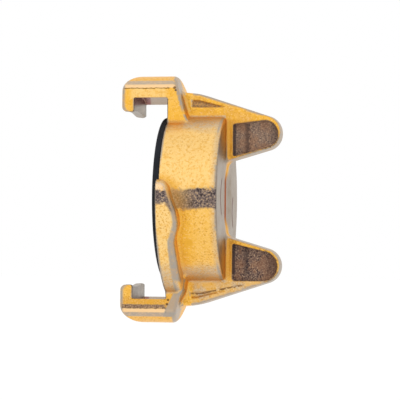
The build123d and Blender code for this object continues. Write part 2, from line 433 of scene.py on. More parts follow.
# Where the forging has cast skin or bare metal, and where grey reflections, light and shade are painted on
# it. A pair is where a mask starts and where it is full.
# Names with Turn are parts of the surface's direction; bend is how sharply it turns per millimetre.
wear = {
    # how the surface bends and how free it stands
    "bendReach": 0.3, "bendSharp": (0.25, 0.6), "freeReach": 3.0, "freeEdge": (0.5, 0.8),
    # cast skin in the wings' hollows
    "hollowSkin": (0.4, 0.1), "hollowDepth": (0.02, 0.24), "besideHollow": (0.5, 1.1),
    "sliverPast": 0.6, "sliverHeight": 21.0, "sliverCast": (0.75, 0.12), "sliverWall": 1.0,
    # painted grey reflection on the claws' turned edges and facets, painted light on the facets that face
    # aside
    "clawHeight": 19.95, "clawRadius": 20.6, "clawBack": 7.2, "clawWidth": 8.5, "clawFace": 0.999,
    "crownTurn": (0.45, 0.75), "crownFront": 0.4, "bevelTurn": (0.1, 0.3), "bevelEnd": (0.97, 0.89),
    "flankTurn": (0.12, 0.32), "flankSide": (2.5, -1.5), "flankHeight": (19.9, 21.9),
    "crownHeight": 25.9, "crownLeast": 0.35, "facetTurn": (0.53, 0.57), "facetGreyEnd": (0.76, 0.7),
    "facetPaleEnd": (0.96, 0.91), "facetGrey": (0.78, 0.95), "flatSide": (0.96, 0.86),
    # painted grey reflection on the turned edges of the wings and of the flange
    "wingRoot": ((8.0, 20.0), 6.5, 0.3), "wingWidth": 4.3, "wingStart": 3.0, "wingRadius": 20.7,
    "wingBehind": 0.4, "wingTurn": (0.7, 0.45), "flangeTip": (3.0, -1.0),
    "flangeZone": (22.0, 15.0, 8.0), "flangeLess": 0.55,
    # painted shade in the inner corners
    "valleyClear": (0.2, 0.7), "valleyLess": 0.8, "valleyBend": (0.25, 0.85), "valleyInSliver": 0.2,
    # bare metal of the lips, the arms, the mouth and the rear wall, painted grey as reflections, with painted
    # shadow on the arms and lips
    "slotMargins": (0.15, 1.0, 0.3), "slotHeight": 19.0, "lipBackTurn": 0.7, "lipUnder": (21.4, 0.75, 1.0),
    "armDepth": 0.4, "mouthFace": (0.1, 0.8), "boreMargins": (0.1, 1.5), "backFace": (1.0, 0.6),
}


def forgingMasks(points, normal):
    x, y, z = points.T
    turnX, turnY, turnZ = normal.T[0], np.abs(normal.T[1]), np.abs(normal.T[2])
    radial = np.hypot(y, z)
    height = np.abs(z)
    aside = np.abs(y)
    crossed = y * z < 0        # one side of each claw and wing; half a turn brings it onto itself
    around = -6 * forgingField(points.T)
    for axis in range(3):
        for way in (-wear["bendReach"], wear["bendReach"]):
            moved = points.copy()
            moved[:, axis] += way
            around += forgingField(moved.T)
    bend = around / wear["bendReach"] ** 2
    free = forgingField((points + wear["freeReach"] * normal).T) / wear["freeReach"]
    hollow = hollowsOfWing(x, y, z)
    into = np.minimum(wing["halfThickness"] - aside, -wingPlate(x, y, z))
    sliverEnd = front + wing["sliverStart"] + wing["sliverLength"] + wear["sliverPast"]
    sliver = (x < sliverEnd) & (height > wear["sliverHeight"])
    cast = rise(np.abs(hollow), *wear["hollowSkin"]) * rise(into, *wear["hollowDepth"])
    cast = cast * np.where(sliver, np.where(crossed, *wear["sliverCast"]), 1.0)

    # painted grey reflection on the claws' edges and facets that turn away, painted light on the facets
    # facing aside
    onClaw = (height > wear["clawHeight"]) & (radial > wear["clawRadius"]) & (x < wear["clawBack"])
    onClaw &= (aside < wear["clawWidth"]) & (turnX < wear["clawFace"])
    crownward = rise(turnZ, *wear["crownTurn"])
    bevel = rise(-turnX - wear["crownFront"] * crownward, *wear["bevelTurn"])
    bevel = bevel * rise(-turnX, *wear["bevelEnd"])
    flank = rise(turnX, *wear["flankTurn"]) * rise(y, *wear["flankSide"])
    flank = flank * rise(height, *wear["flankHeight"])
    upper = (height > wear["crownHeight"]) & (turnZ > wear["crownLeast"]) & (turnX < wear["crownLeast"])
    facet = upper * rise(turnY, *wear["facetTurn"])
    greyFacet = facet * rise(turnY, *wear["facetGreyEnd"]) * np.where(crossed, *wear["facetGrey"])
    litFacet = onClaw * facet * rise(turnY, *wear["facetPaleEnd"])

    # painted grey reflection on the other turned edges and on the wings' rims
    edge = rise(bend, *wear["bendSharp"]) * rise(turnY, *wear["flatSide"])
    edge = edge * rise(hollow, *wear["besideHollow"])
    (rootLow, rootHigh), rootWidth, rootMargin = wear["wingRoot"]
    wingRoot = (x > rear - rootMargin) & (aside < rootWidth) & (height < rootHigh) & (height > rootLow)
    edge = edge * np.where(wingRoot, 0.0, 1.0)
    onWing = (aside < wear["wingWidth"]) & (x > front + wear["wingStart"])
    onWing &= (radial > wear["wingRadius"]) | (x > rear + wear["wingBehind"])
    turned = rise(turnY, *wear["wingTurn"]) * rise(free, *wear["freeEdge"]) * onWing
    rim = np.where(onClaw, np.maximum(np.maximum(bevel, flank), greyFacet), np.maximum(edge, turned))
    flangeRadius, flangeAside, flangeBack = wear["flangeZone"]
    onFlange = (radial > flangeRadius) & (aside > flangeAside) & (x < flangeBack)
    rim = rim * (1 - wear["flangeLess"] * rise(z * np.sign(y), *wear["flangeTip"]) * onFlange)
    rim = rim * (1 - cast) * (1 - wear["valleyLess"] * rise(-bend, *wear["valleyClear"]))
    # painted shade in the inner corners
    valley = rise(-bend, *wear["valleyBend"])
    valley = valley * np.where(sliver & (hollow < wear["sliverWall"]), wear["valleyInSliver"], 1.0)

    # painted grey reflection and shadow go on these bare faces in the shader
    above, ahead, behind = wear["slotMargins"]
    slotSide = (radial < claw["armRadius"] + above) & (height > wear["slotHeight"])
    slotSide &= (x > clawFront + ahead) & (x < front - behind)
    underHeight, underTurn, underMargin = wear["lipUnder"]
    under = (height < underHeight) & (turnZ > underTurn) & (normal.T[2] * z < 0) & (x < front - underMargin)
    arm = slotSide & (radial > claw["armRadius"] - wear["armDepth"]) & (x > clawFront + claw["lipThickness"])
    mouthMargin, mouthTurn = wear["mouthFace"]
    mouth = (np.abs(x - front) < mouthMargin) & (turnX < -mouthTurn)
    boreMargin, boreEnd = wear["boreMargins"]
    bore = (radial < forging["grooveRadius"] + boreMargin) & (x < rear - boreEnd) & (x > 0)
    backMargin, backTurn = wear["backFace"]
    back = (np.abs(x - rear) < backMargin) & (radial < forging["barrelRadius"]) & (turnX > backTurn)
    lip = (slotSide & (turnX > wear["lipBackTurn"])) | under | mouth | bore
    return {"rim": rim, "litFacet": litFacet, "valley": valley, "free": np.clip(free, 0, 1), "cast": cast,
            "lip": lip.astype(float), "arm": arm.astype(float), "back": back.astype(float)}


low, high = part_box("coupling_body")
margin = 2 * meshing["step"]
forgingLow = [v / mm - margin for v in low]
forgingHigh = [v / mm + margin for v in high]
bodyPiece = surfaceMesh("forged_body", forgingField, forgingMasks, forgingLow, forgingHigh)
print("forging made")


class Wire:
    # wraps a node's socket; sums and products of wires add the shader's Math nodes
    def __init__(self, tree, socket=None):
        self.tree = tree
        self.socket = socket

    def make(self, kind, settings, values, output=0):
        node = self.tree.nodes.new(kind)
        for key, value in settings.items():
            setattr(node, key, value)
        for key, value in values.items():
            if isinstance(value, Wire):
                self.tree.links.new(value.socket, node.inputs[key])
            else:
                node.inputs[key].default_value = value
        return None if output is None else Wire(self.tree, node.outputs[output])

    def math(self, operation, a, b=0.0):
        return self.make("ShaderNodeMath", {"operation": operation}, {0: a, 1: b})

    def __add__(self, other):
        return self.math("ADD", self, other)

    def __radd__(self, other):
        return self.math("ADD", other, self)

    def __sub__(self, other):
        return self.math("SUBTRACT", self, other)

    def __rsub__(self, other):
        return self.math("SUBTRACT", other, self)

    def __mul__(self, other):
        return self.math("MULTIPLY", self, other)

    def __rmul__(self, other):
        return self.math("MULTIPLY", other, self)

    def __abs__(self):
        return self.math("ABSOLUTE", self)

    def rise(self, start, end):
        # 0 at start and 1 at end, smooth between
        return self.make("ShaderNodeMapRange", {"interpolation_type": "SMOOTHSTEP"},
                         {"Value": self, "From Min": start, "From Max": end})

    def near(self, middle, halfWidth, soft):
        # 1 round the middle and 0 away from it
        return 1.0 - abs(self - middle).rise(halfWidth - soft / 2, halfWidth + soft / 2)

    def stray(self, cloud, width):
        # moved to and fro by a noise
        return self + (cloud - 0.5) * width


# The ring, in millimetres: its section goes round the axis
ring = {
    # depth behind the crest, distance from the axis and fillet of each corner
    "section": [
        (0.0, 16.2, 0.5), (0.5, 19.7, 0.5), (1.88, 19.7, 0.15), (1.88, 16.65, 0.1), (3.55, 16.65, 0.1),
        (3.55, 17.85, 0.2), (6.38, 17.85, 0.3), (6.38, 13.42, 0.4), (0.4, 13.42, 0.3), (0.0, 14.6, 0.5),
    ],
    "pathRadius": 16.0,
    "segments": 192,
    "cornerSteps": 5,
}


def ringTree():
    tree = bpy.data.node_groups.new("ring_tree", "GeometryNodeTree")
    tree.interface.new_socket("Geometry", in_out="OUTPUT", socket_type="NodeSocketGeometry")
    kinds = {"Section": "Geometry", "Path Radius": "Float", "Segments": "Int", "Corner Steps": "Int",
             "Finish": "Material"}
    for name, kind in kinds.items():
        tree.interface.new_socket(name, in_out="INPUT", socket_type="NodeSocket" + kind)
    source = tree.nodes.new("NodeGroupInput")
    given = {name: Wire(tree, source.outputs[name]) for name in kinds}
    root = Wire(tree)
    outline = root.make("GeometryNodeMeshToCurve", {}, {"Mesh": given["Section"]}, "Curve")
    fillet = root.make("GeometryNodeInputNamedAttribute", {"data_type": "FLOAT"}, {
        "Name": "fillet"}, "Attribute")
    rounded = root.make("GeometryNodeFilletCurve", {"mode": "POLY"}, {
        "Curve": outline, "Count": given["Corner Steps"], "Radius": fillet, "Limit Radius": True}, "Curve")
    path = root.make("GeometryNodeCurvePrimitiveCircle", {}, {
        "Resolution": given["Segments"], "Radius": given["Path Radius"]}, "Curve")
    swept = root.make("GeometryNodeCurveToMesh", {}, {"Curve": path, "Profile Curve": rounded}, "Mesh")
    turned = root.make("GeometryNodeTransform", {}, {
        "Geometry": swept, "Rotation": (0.0, math.pi / 2, 0.0)}, "Geometry")
    smooth = root.make("GeometryNodeSetShadeSmooth", {}, {"Geometry": turned}, "Geometry")
    real = root.make("GeometryNodeRealizeInstances", {}, {"Geometry": smooth}, "Geometry")
    finished = root.make("GeometryNodeSetMaterial", {}, {
        "Geometry": real, "Material": given["Finish"]}, "Geometry")
    root.make("NodeGroupOutput", {}, {"Geometry": finished}, None)
    return tree


def makeRing(finish):
    source = bpy.data.meshes.new("ring_section")
    points = [((radius - ring["pathRadius"]) * mm, -depth * mm, 0.0)
              for depth, radius, fillet in ring["section"]]
    count = len(points)
    source.from_pydata(points, [(i, (i + 1) % count) for i in range(count)], [])
    fillets = source.attributes.new("fillet", "FLOAT", "POINT")
    fillets.data.foreach_set("value", [fillet * mm for depth, radius, fillet in ring["section"]])
    maker = addObject("ring_maker", source)
    tree = ringTree()
    modifier = maker.modifiers.new("ring", "NODES")
    modifier.node_group = tree
    wanted = {"Path Radius": ring["pathRadius"] * mm, "Segments": ring["segments"],
              "Corner Steps": ring["cornerSteps"], "Finish": finish}
    for item in tree.interface.items_tree:
        if item.in_out == "INPUT" and item.name in wanted:
            modifier[item.identifier] = wanted[item.name]
    evaluated = maker.evaluated_get(bpy.context.evaluated_depsgraph_get())
    shape = bpy.data.meshes.new_from_object(evaluated)
    maker.modifiers.remove(modifier)
    bpy.data.objects.remove(maker)
    work = bmesh.new()
    work.from_mesh(shape)
    bmesh.ops.recalc_face_normals(work, faces=work.faces)
    work.to_mesh(shape)
    work.free()
    shape.name = "rubber_ring"
    print("ring made", len(shape.polygons), "faces")
    return addObject("rubber_ring", shape)


def linear(red, green, blue):
    # colour as seen on a screen, 0 to 255, into the shader's scale
    steps = [v / 255 for v in (red, green, blue)]
    return tuple(v / 12.92 if v <= 0.04045 else ((v + 0.055) / 1.055) ** 2.4 for v in steps) + (1.0,)


def emptyTree(owner):
    owner.use_nodes = True
    owner.node_tree.nodes.clear()
    return Wire(owner.node_tree)


def newMaterial(name):
    made = bpy.data.materials.new(name)
    root = emptyTree(made)
    place = root.make("ShaderNodeTexCoord", {}, {}, "Object")
    place = root.make("ShaderNodeVectorMath", {"operation": "SCALE"}, {0: place, "Scale": 1 / mm})
    return made, root, place


def finishMaterial(root, values, relief, distance):
    normal = root.make("ShaderNodeBump", {}, {"Strength": 1.0, "Distance": distance, "Height": relief})
    shader = root.make("ShaderNodeBsdfPrincipled", {}, {**values, "Normal": normal}, "BSDF")
    root.make("ShaderNodeOutputMaterial", {}, {"Surface": shader}, None)


def noise(root, place, perMm, detail):
    return root.make("ShaderNodeTexNoise", {}, {"Vector": place, "Scale": perMm, "Detail": detail}, "Fac")


def blend(root, factor, a, b):
    return root.make("ShaderNodeMix", {"data_type": "RGBA"}, {0: factor, 6: a, 7: b}, 2)


def attribute(root, name):
    return root.make("ShaderNodeAttribute", {"attribute_name": name}, {}, "Fac")


brass = {
    "tones": {
        "gold": linear(246, 186, 68), "goldPale": linear(251, 210, 134), "goldRich": linear(248, 198, 104),
        "goldDeep": linear(234, 174, 60), "goldDark": linear(190, 130, 54), "orange": linear(220, 160, 72),
        "beige": linear(202, 180, 150), "cream": linear(253, 216, 168), "rim": linear(177, 162, 146),
        "rimCool": linear(168, 161, 151), "fold": linear(112, 74, 42), "seam": linear(160, 84, 40),
        "wall": linear(242, 204, 134), "rearWall": linear(144, 131, 116), "castDark": linear(58, 44, 48),
        "castMid": linear(140, 114, 100), "castPale": linear(206, 178, 150),
        "castWarm": linear(172, 122, 84), "reflectStripeDark": linear(44, 34, 44),
        "reflectStripeMid": linear(122, 106, 102), "reflectStripePale": linear(180, 158, 136),
        "lip": linear(148, 137, 124), "lipPale": linear(170, 156, 140), "arm": linear(178, 158, 138),
        "shadowPurple": linear(142, 84, 76), "arc": linear(104, 62, 58),
    },
    # place, size and tone of single pits and rubbed spots
    "marks": [
        ((8.8, -16.8, -10.6), 1.2, "goldDeep"),
        ((5.8, -11.6, -16.1), 0.26, "castDark"),
        ((3.9, -8.2, 25.6), 0.3, "castDark"),
        ((3.6, -8.2, 26.3), 0.5, "fold"),
        ((2.5, -8.2, -24.1), 0.4, "fold"),
        ((2.3, -8.2, -25.1), 0.4, "castDark"),
        ((4.9, -19.8, -0.9), 0.5, "reflectStripeDark"),
    ],
    # features per millimetre and detail
    "noises": {"grain": (1.4, 3.0), "speckle": (2.8, 2.0), "mottle": (0.28, 3.0)},
    # Millimetres along one way. Two numbers are where a zone starts and where it is full;
    # three are its middle, half width and softness.
    "zones": {
        "barrelEnd": ("x", 15.6, 15.2), "besideClaw": ("aside", 8.3, 8.9), "behindClaw": ("x", 6.2, 7.0),
        "barrelSkin": ("radial", forging["barrelRadius"], 0.45, 0.4),
        "flangeSkin": ("radial", flange["radius"], 0.4, 0.4), "flangeEnd": ("x", 7.4, 7.0),
        "barrelLit": ("z", -4.0, 3.0), "mouthward": ("x", 12.0, 7.0), "flangeLit": ("z", -3.0, 0.5),
        "clawSide": ("aside", 7.6, 8.0), "clawOutward": ("radial", 24.4, 25.2),
        "belowFold": ("height", 26.3, 26.0), "clawMiddle": ("x", -2.6, 4.2, 2.0),
        "upperClaw": ("z", 20.0, 22.0), "lowerClaw": ("z", -20.0, -22.0),
        "wingFace": ("aside", 3.3, 0.9, 0.3), "wingStart": ("x", 7.2, 8.2), "seenSide": ("y", 0.0, -1.0),
        "lowerWing": ("z", -17.0, -20.0), "upperWing": ("z", 12.0, 18.0),
        "reflectedBeige": ("height", 14.6, 17.8), "rearward": ("x", 13.4, 15.0), "underClaw": ("x", 6.6, 5.6),
        "underMiddle": ("aside", 10.4, 8.8), "wornLower": ("z", 3.0, -4.0),
        "wallRadius": ("radial", 21.75, 1.3, 0.4), "wallDepth": ("x", 5.6, 2.4, 0.6),
        "wingRootStart": ("x", 15.0, 15.8), "wingRootEnd": ("x", 18.4, 17.0),
        "wingRootWidth": ("aside", 4.6, 3.9), "wingRootHeight": ("height", 13.2, 5.6, 1.5),
        "cornerSide": ("aside", claw["halfWidth"], 0.4, 0.3), "cornerFacet": ("aside", 7.0, 0.9, 0.2),
        "cornerHeight": ("height", 26.0, 26.4), "cornerEnd": ("x", 6.9, 6.5),
        "cornerOutward": ("radial", 20.6, 21.2),
        "foldStart": ("x", -9.0, -8.2), "foldEnd": ("x", 2.9, 2.1), "foldLine": ("z", 26.15, 0.1, 0.1),
        "stripe": ("z", -25.7, 0.5, 0.25), "stripeEnd": ("x", 2.4, 1.4),
        "goldenHeight": ("height", 9.0, 15.0), "goldenWidth": ("aside", 17.5, 9.0),
        "bandStart": ("x", 3.6, 5.6), "bandFull": ("x", 5.5, 11.0), "bandSide": ("y", -10.0, -12.0),
        "tail": ("z", -2.6, 1.2, 1.8),
        "creaseStart": ("x", 6.8, 7.8), "creaseEnd": ("x", 20.4, 18.6), "creaseSide": ("y", -2.8, -3.4),
        "castUpper": ("z", 8.0, 10.0), "pocketLower": ("z", 0.0, -4.0),
        "pocketRoot": ("x", 17.35, 0.35, 0.3), "pocketMiddle": ("x", 20.5, 0.55, 0.8),
        "pocketHeight": ("height", 13.8, 4.2, 0.5), "lipShadowEnd": ("x", -4.0, -5.0),
    },
    # the noise that moves a zone's edge and how far, in millimetres
    "strays": {
        "barrelLit": ("mottle", 5.0), "reflectedBeige": ("mottle", 3.0), "rearward": ("grain", 0.8),
        "underMiddle": ("mottle", 4.0), "foldLine": ("grain", 0.5), "stripe": ("grain", -0.45),
        "goldenHeight": ("mottle", 6.0), "goldenWidth": ("grain", 3.0), "pocketMiddle": ("grain", 2.0),
    },
    # the same kinds of numbers for a sum of places, a noise or a mask
    "edges": {
        "skin": (0.35, 0.65), "beige": (0.42, 0.6), "warm": (0.62, 0.8), "free": (1.0, 0.35),
        "grain": (0.46, 0.66), "worn": (0.6, 0.9), "dark": (0.52, 0.7), "bright": (0.46, 0.3),
        "grey": (0.42, 0.58), "rimGrain": (0.45, 0.7), "rearWall": (0.3, 0.7), "creaseGrain": (0.38, 0.52),
        "reflectStripeMid": (0.38, 0.5), "reflectStripePale": (0.54, 0.64), "reflectStripeBare": (0.56, 0.68),
        "castMid": (0.36, 0.49), "castPale": (0.53, 0.66), "castEdge": (0.9, 0.6), "castBare": (0.42, 0.6),
        "cornerSlant": (3.85, 4.25), "cornerHalf": (0.0, 4.0),
        "seamEnds": (4.0, 7.2), "seamMiddle": (1.7, 0.9), "seamWide": (4.0, 1.6), "arc": (0.0, 0.6, 0.5),
        "band": (-0.5, 2.3, 0.9), "bandOnFlange": (-0.4, 1.5, 0.7), "tailStart": (3.1, 3.9),
        "crease": (-22.6, 0.22, 0.2), "pocketTip": (25.4, 27.4), "armShadow": (-3.9, -3.4),
        "lipShadow": (22.8, 23.3),
    },
    # how much of a layer shows
    "shares": {
        "skin": 0.5, "barrel": 0.9, "clawMiddle": 0.8, "lowerClaw": 0.38, "wingBeige": 0.5, "wingOrange": 0.5,
        "free": 0.7, "reflectedBeigeFlange": 0.8, "rearward": 0.6, "underClaw": 0.75, "grain": 0.5, "bright": 0.35,
        "valley": 0.3, "wall": 0.85, "wingRoot": 0.45, "litFacet": 0.85, "rim": 0.95, "corner": 0.85,
        "foldLine": 0.8, "rearGrey": 0.5, "golden": 0.9, "rearWall": 0.95, "tail": 0.85, "stripe": 0.85,
        "reflectStripe": 0.97, "crease": 0.8, "castUpper": 0.22, "castWarm": 0.4, "pocketMiddle": 0.75,
        "pocketTip": 0.45, "pocket": 0.8, "castBare": 0.85, "lipShadow": 0.9, "mark": 0.85,
    },
    "grainIn": {"spots": 0.3, "warmth": 0.4, "worn": 0.5},
    "wornLeast": 0.15,
    "wornUpper": 0.35,
    "wingBeigeLeast": 0.45,
    "cornerLevel": (22.05, 0.5),     # height and slant of the worn corner
    "rimGrainLess": 0.3,
    "reflectStripeLess": 0.25,
    "bandFront": 0.55,               # the band is weaker near the mouth
    "bandStray": 1.6,
    "tailSlant": 0.5,
    "seamStrays": (0.8, 1.5),        # by the grain and by the mottle
    # middle, level, bow, then middle, half length and softness along it, and strength
    "arcs": [(-12.6, 0.0, 0.11, (0.2, 4.2, 1.0), 0.85), (9.2, -2.8, 0.1, (0.0, 3.7, 1.0), 1.0)],
    "arcStray": 0.3,
    "creaseClimb": (9.5, 0.21),
    "creaseStray": 0.5,
    "pocketLowerShift": 1.2,
    "armSlant": 0.168,
    "lipSlant": 0.134,
    "roughness": {"base": 0.32, "grain": 0.14, "cast": 0.4, "band": 0.25, "arcs": 0.3},
    "metallic": {"base": 1.0, "cast": -0.75, "band": -0.5, "arcs": -0.6},
    "relief": {"base": 0.0, "grain": 0.6, "speckle": 0.6, "mottle": 0.5, "rough": 1.5, "bandSpeckle": 0.8,
               "line": -0.8},
    "lipRelief": 0.1,
    "bump": 0.08,
}


class Coat:
    # what the brass layers share: places, noises, masks and the colour so far
    def __init__(self):
        self.made, self.root, self.place = newMaterial("brass")
        x = self.root.make("ShaderNodeSeparateXYZ", {}, {0: self.place}, "X")
        y, z = [Wire(self.root.tree, x.socket.node.outputs[name]) for name in "YZ"]
        self.places = {"x": x, "y": y, "z": z, "aside": abs(y), "height": abs(z),
                       "radial": self.root.math("SQRT", y * y + z * z)}
        self.noises = {name: noise(self.root, self.place, *size) for name, size in brass["noises"].items()}
        self.masks = {name: attribute(self.root, name)
                      for name in ("rim", "litFacet", "valley", "free", "cast", "lip", "arm", "back")}
        openBarrel = self.root.math("MAXIMUM", self.zone("besideClaw"), self.zone("behindClaw"))
        self.onBarrel = self.zone("barrelSkin") * self.zone("barrelEnd") * openBarrel
        self.onFlange = self.zone("flangeSkin") * self.zone("flangeEnd") * self.zone("besideClaw")
        grain, mottle = self.noises["grain"], self.noises["mottle"]
        grainShare = brass["grainIn"]["spots"]
        self.spots = self.noises["speckle"] * (1.0 - grainShare) + grain * grainShare
        self.warmth = self.edge(mottle + grain * brass["grainIn"]["warmth"], "warm")
        # grey of the painted reflections on turned edges and the rear wall
        self.grey = self.mix(self.edge(mottle, "grey"), "rim", "rimCool")
        self.colour = self.mix(self.edge(mottle, "skin") * brass["shares"]["skin"], "gold", "goldRich")

    def edge(self, wire, name):
        edges = brass["edges"][name]
        return wire.rise(*edges) if len(edges) == 2 else wire.near(*edges)

    def zone(self, name):
        way, *edges = brass["zones"][name]
        wire = self.places[way]
        if name in brass["strays"]:
            cloud, width = brass["strays"][name]
            wire = wire.stray(self.noises[cloud], width)
        return wire.rise(*edges) if len(edges) == 2 else wire.near(*edges)

    def mix(self, share, under, over):
        under, over = [brass["tones"][tone] if isinstance(tone, str) else tone for tone in (under, over)]
        return blend(self.root, share, under, over)

    def over(self, share, tone, amount=None):
        # lays a tone over the colour so far
        if amount:
            share = share * brass["shares"][amount]
        self.colour = self.mix(share, self.colour, tone)


def goldSkin(coat):
    # painted light: paler on the upper half of the barrel and of the flange; painted beige reflection towards
    # the barrel's top, bottom and rear end
    zone, edge, shares = coat.zone, coat.edge, brass["shares"]
    grain, speckle, mottle = [coat.noises[name] for name in ("grain", "speckle", "mottle")]
    lit = coat.mix(zone("barrelLit"), coat.mix(zone("mouthward"), "goldRich", "gold"), "goldPale")
    coat.over(coat.onBarrel, lit, "barrel")
    coat.over(coat.onFlange, coat.mix(zone("flangeLit"), "goldPale", "cream"))
    facing = zone("clawSide") * zone("clawOutward") * zone("belowFold")
    # painted light and shade: the upper claw's flat side paler in the middle, the lower claw's darker
    coat.over(facing * zone("clawMiddle") * zone("upperClaw"), "goldPale", "clawMiddle")
    coat.over(facing * zone("lowerClaw"), "goldDark", "lowerClaw")
    plate = zone("wingFace") * zone("wingStart") * zone("seenSide")
    beige = brass["wingBeigeLeast"] + edge(mottle, "beige") * shares["wingBeige"]
    coat.over(plate * zone("lowerWing") * beige, "beige")
    coat.over(plate * zone("upperWing") * coat.warmth, "orange", "wingOrange")
    # painted shade: deeper gold where the surface is hemmed in
    coat.over(edge(coat.masks["free"], "free"), "goldDeep", "free")
    # painted reflection: beige where the barrel and the flange turn up and down, and at the barrel's rear end
    reflectedBeigeShare = coat.onBarrel * shares["barrel"] + coat.onFlange * shares["reflectedBeigeFlange"]
    coat.over(zone("reflectedBeige") * reflectedBeigeShare, "beige")
    coat.over(coat.onBarrel * zone("rearward"), "beige", "rearward")
    # painted shadow of the claws on the barrel
    coat.over(zone("barrelSkin") * zone("underClaw") * zone("underMiddle"), "orange", "underClaw")
    coat.over(edge(grain, "grain"), "goldDeep", "grain")
    worn = edge(mottle + grain * brass["grainIn"]["worn"], "worn")
    worn = brass["wornLeast"] + worn * (1.0 - brass["wornLeast"])
    worn = worn * (brass["wornUpper"] + zone("wornLower") * brass["wornUpper"])
    coat.over(edge(speckle, "dark") * worn, "goldDark")
    coat.over(edge(speckle, "bright"), "cream", "bright")
    # painted shade in the inner corners
    coat.over(coat.masks["valley"], "orange", "valley")


def edgeReflectionsAndWear(coat):
    zone = coat.zone
    # painted light: the flange's ramp wall paler, to offset the shade in its groove
    coat.over(zone("wallRadius") * zone("wallDepth") * zone("besideClaw"), "wall", "wall")
    wingRoot = zone("wingRootStart") * zone("wingRootEnd") * zone("wingRootWidth")
    # painted shade where the wings meet the rear wall
    coat.over(wingRoot * zone("wingRootHeight"), "goldDark", "wingRoot")
    # painted light on the claws' facets that face aside
    coat.over(coat.masks["litFacet"], "cream", "litFacet")
    # painted grey reflection on edges that turn away
    less = brass["rimGrainLess"] * coat.edge(coat.noises["grain"], "rimGrain")
    coat.over(coat.masks["rim"] * (brass["shares"]["rim"] - less), coat.grey)
    # the lower claw's worn rear corner
    x, y, z, height = [coat.places[way] for way in ("x", "y", "z", "height")]
    level, slant = brass["cornerLevel"]
    corner = coat.root.math("MAXIMUM", zone("cornerSide"), zone("cornerFacet") * zone("cornerHeight"))
    corner = corner * coat.edge(x + (height - level) * slant, "cornerSlant") * zone("cornerEnd")
    coat.over(corner * coat.edge(y * z, "cornerHalf") * zone("cornerOutward"), coat.grey, "corner")


def foldMarks(coat):
    # the mould's fold along the claws' flat sides: a thin line above, a rough stripe below
    onSide = coat.zone("clawSide") * coat.zone("foldStart") * coat.zone("foldEnd")
    coat.line = coat.zone("foldLine") * onSide
    coat.over(coat.line, "fold", "foldLine")
    coat.stripe = coat.zone("stripe") * onSide * coat.zone("stripeEnd")


def rearWall(coat):
    # the seam, its widened ends and two arcs beside it
    y, z, height = [coat.places[way] for way in ("y", "z", "height")]
    grain, mottle = coat.noises["grain"], coat.noises["mottle"]
    edge, shares, back = coat.edge, brass["shares"], coat.masks["back"]
    byGrain, byMottle = brass["seamStrays"]
    wander = (grain - 0.5) * byGrain + (mottle - 0.5) * byMottle
    ends = edge(height + wander, "seamEnds")
    offSeam = abs(y + wander)
    seam = edge(offSeam, "seamMiddle") * (1.0 - ends) + edge(offSeam, "seamWide") * ends
    # painted grey reflection on the rear wall
    reflectedWall = coat.mix(edge(mottle, "rearWall") * shares["rearGrey"], "rearWall", coat.grey)
    golden = coat.zone("goldenHeight") * coat.zone("goldenWidth") * shares["golden"]
    coat.over(back, coat.mix(golden, reflectedWall, "orange"), "rearWall")
    coat.over(back * seam, coat.mix(ends, "seam", "goldDeep"), "rearWall")
    arcs = 0.0
    for middle, level, bow, length, strength in brass["arcs"]:
        up = z - level
        across = y - middle + wander * brass["arcStray"] - up * up * bow
        arcs = arcs + edge(across, "arc") * up.near(*length) * strength
    coat.arcs = back * arcs
    coat.over(coat.arcs, "arc")


def darkBand(coat):
    # painted dark reflection, speckled, across the barrel and the flange on the seen side, and the claws'
    # rough stripe in the same dark
    zone, edge, shares, spots = coat.zone, coat.edge, brass["shares"], coat.spots
    x, z, grain = coat.places["x"], coat.places["z"], coat.noises["grain"]
    stray = brass["bandStray"]
    drift = z.stray(coat.noises["mottle"], stray).stray(grain, stray)
    onset = zone("bandStart") * (brass["bandFront"] + zone("bandFull") * (1.0 - brass["bandFront"]))
    across = coat.onBarrel * edge(drift, "band") * onset + coat.onFlange * edge(drift, "bandOnFlange")
    tailStart = edge((x + z * brass["tailSlant"]).stray(grain, stray), "tailStart")
    tail = coat.onFlange * zone("tail") * tailStart * shares["tail"]
    coat.band = zone("bandSide") * coat.root.math("MAXIMUM", across, tail)
    # dark speckled colour of the painted reflection band and of the claws' rough stripe
    reflectStripe = coat.mix(edge(spots, "reflectStripeMid"), "reflectStripeDark", "reflectStripeMid")
    reflectStripe = coat.mix(edge(spots, "reflectStripePale"), reflectStripe, "reflectStripePale")
    share = coat.root.math("MINIMUM", coat.band + coat.stripe * shares["stripe"], 1.0)
    coat.over(share * (shares["reflectStripe"] - brass["reflectStripeLess"] * edge(spots, "reflectStripeBare")), reflectStripe)


def wingCrease(coat):
    # a rough line along the lower wing
    x, z, grain = coat.places["x"], coat.places["z"], coat.noises["grain"]
    start, climb = brass["creaseClimb"]
    along = z - coat.root.math("MAXIMUM", x - start, 0.0) * climb
    crease = coat.edge(along.stray(grain, brass["creaseStray"]), "crease")
    crease = crease * coat.zone("creaseStart") * coat.zone("creaseEnd") * coat.zone("creaseSide")
    coat.over(crease * coat.edge(grain, "creaseGrain"), "fold", "crease")


def castHollows(coat):
    zone, edge, shares = coat.zone, coat.edge, brass["shares"]
    spots, cast = coat.spots, coat.masks["cast"]
    deep = coat.mix(edge(spots, "castMid"), "castDark", "castMid")
    deep = coat.mix(edge(spots, "castPale"), deep, "castPale")
    deep = coat.mix(zone("castUpper") * shares["castUpper"], deep, "castPale")
    deep = coat.mix(coat.warmth * shares["castWarm"], deep, "castWarm")
    tip = edge(coat.places["x"] + zone("pocketLower") * brass["pocketLowerShift"], "pocketTip")
    shade = zone("pocketRoot") + zone("pocketMiddle") * shares["pocketMiddle"] + tip * shares["pocketTip"]
    deep = coat.mix(shade * zone("pocketHeight") * shares["pocket"], deep, "castDark")
    bareEdge = edge(cast, "castEdge") * edge(spots, "castBare") * shares["castBare"]
    coat.over(cast * (1.0 - bareEdge), deep)


